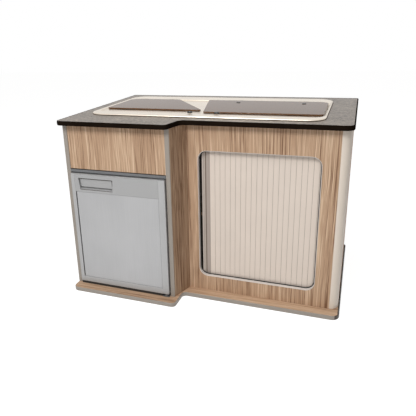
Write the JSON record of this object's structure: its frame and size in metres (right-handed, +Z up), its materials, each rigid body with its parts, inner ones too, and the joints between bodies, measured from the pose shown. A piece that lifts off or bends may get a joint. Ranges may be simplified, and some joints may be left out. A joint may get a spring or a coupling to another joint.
{
  "type": "campervan kitchen pod",
  "caption": "Camper kitchen cabinet with a compressor fridge, a tambour cupboard and a worktop with a sink and hob unit under glass lids.",
  "frame": {"origin": "on the floor, under the middle of the outer box of worktop and base board", "axes": "+X to the right along the front, +Y to the back, +Z up; the fridge door, cupboard front and step face -Y"},
  "size_m": [1.019, 0.706, 0.6928],
  "materials": {
    "oak_laminate": "woodgrain laminate",
    "grey_edging": "satin",
    "black_edging": "satin",
    "worktop_laminate": "speckled laminate",
    "cream_profile": "satin",
    "birch_ply": "bare ply",
    "stainless_steel": "brushed",
    "smoked_glass": "polished",
    "silver_frame": "satin",
    "grey_panel": "satin",
    "grey_rubber": "soft",
    "white_plastic": "moulded",
    "black_plastic": "satin",
    "black_rubber": "soft",
    "black_enamel": "semi gloss",
    "cast_iron": "enamelled"
  },
  "bodies": {
    "cabinet": {"base_board": "oak_laminate", "left_side_panel": "oak_laminate", "partition_panel": "oak_laminate", "step_filler": "oak_laminate", "right_side_panel": "oak_laminate", "upper_front_panel": "oak_laminate", "cupboard_front": "oak_laminate", "cupboard_shelf": "oak_laminate", "base_edging": "grey_edging", "left_panel_edging": "grey_edging", "step_edging": "grey_edging", "opening_trim": "grey_edging", "worktop_edging": "black_edging", "worktop": "worktop_laminate", "corner_post": "cream_profile", "tambour_curtain": "cream_profile", "cupboard_back": "birch_ply", "fridge_back_rail": "birch_ply", "sink_hob_rim": "stainless_steel", "sink_hob_tray": "stainless_steel", "sink_waste": "stainless_steel", "tap_base": "stainless_steel", "burner_ring_left": "stainless_steel", "burner_ring_right": "stainless_steel", "sink_lid_hinge_rail": "stainless_steel", "hob_lid_hinge_rail": "stainless_steel", "fridge_shelf": "stainless_steel", "fridge_hinge_top": "stainless_steel", "fridge_hinge_bottom": "stainless_steel", "freezer_box": "silver_frame", "condenser": "silver_frame", "fridge_top_strip": "grey_panel", "fridge_cabinet": "white_plastic", "bottom_track": "black_plastic", "top_track": "black_plastic", "compressor": "black_enamel", "burner_cap_left": "cast_iron", "burner_cap_right": "cast_iron", "pan_support_left": "cast_iron", "pan_support_right": "cast_iron"},
    "fridge_door": {"fridge_door_frame": "silver_frame", "fridge_door_panel": "grey_panel", "fridge_door_header": "grey_panel", "fridge_door_gasket": "grey_rubber", "fridge_door_liner": "white_plastic"},
    "fridge_latch": {"fridge_latch": "silver_frame"},
    "sink_lid": {"sink_lid_glass": "smoked_glass", "sink_lid_seal": "black_rubber", "sink_lid_hinge_arm_left": "black_enamel", "sink_lid_hinge_arm_right": "black_enamel"},
    "hob_lid": {"hob_lid_glass": "smoked_glass", "hob_lid_seal": "black_rubber", "hob_lid_hinge_arm_left": "black_enamel", "hob_lid_hinge_arm_right": "black_enamel"},
    "spindle_left": {"hob_spindle_left": "stainless_steel"},
    "spindle_right": {"hob_spindle_right": "stainless_steel"},
    "knob_left": {"hob_knob_left": "black_plastic"},
    "knob_right": {"hob_knob_right": "black_plastic"},
    "tap_spout": {"tap_spout": "stainless_steel"},
    "tambour_handle": {"tambour_handle": "cream_profile"}
  },
  "joints": [
    {"name": "fridge_door_hinge", "type": "hinge", "parent": "cabinet", "child": "fridge_door", "pos_m": [-0.1105, -0.31, 0.25], "axis": [0, 0, 1], "range_deg": [0, 100]},
    {"name": "fridge_latch_hinge", "type": "hinge", "parent": "fridge_door", "child": "fridge_latch", "pos_m": [-0.375, -0.307, 0.4622], "axis": [-1, 0, 0], "range_deg": [0, 20], "stiffness_Nm_per_rad": 0.06},
    {"name": "sink_lid_hinge", "type": "hinge", "parent": "cabinet", "child": "sink_lid", "pos_m": [-0.2975, 0.1855, 0.685], "axis": [-1, 0, 0], "range_deg": [0, 100]},
    {"name": "hob_lid_hinge", "type": "hinge", "parent": "cabinet", "child": "hob_lid", "pos_m": [0.1825, 0.1855, 0.685], "axis": [-1, 0, 0], "range_deg": [0, 100]},
    {"name": "spindle_left_turn", "type": "hinge", "parent": "cabinet", "child": "spindle_left", "pos_m": [-0.061, -0.133, 0.682], "axis": [0, 0, 1], "range_deg": [0, 210]},
    {"name": "spindle_right_turn", "type": "hinge", "parent": "cabinet", "child": "spindle_right", "pos_m": [0.04, -0.133, 0.682], "axis": [0, 0, 1], "range_deg": [0, 210]},
    {"name": "knob_left_push", "type": "slide", "parent": "spindle_left", "child": "knob_left", "axis": [0, 0, -1], "range_m": [0, 0.003], "stiffness_N_per_m": 600},
    {"name": "knob_right_push", "type": "slide", "parent": "spindle_right", "child": "knob_right", "axis": [0, 0, -1], "range_m": [0, 0.003], "stiffness_N_per_m": 600},
    {"name": "tap_spout_swivel", "type": "hinge", "parent": "cabinet", "child": "tap_spout", "pos_m": [-0.3845, 0.105, 0.655], "axis": [0, 0, 1], "range_deg": [0, 90]},
    {"name": "tambour_slide", "type": "slide", "parent": "cabinet", "child": "tambour_handle", "axis": [1, 0, 0], "range_m": [0, 0.39], "deforming": ["tambour_curtain"]}
  ]
}
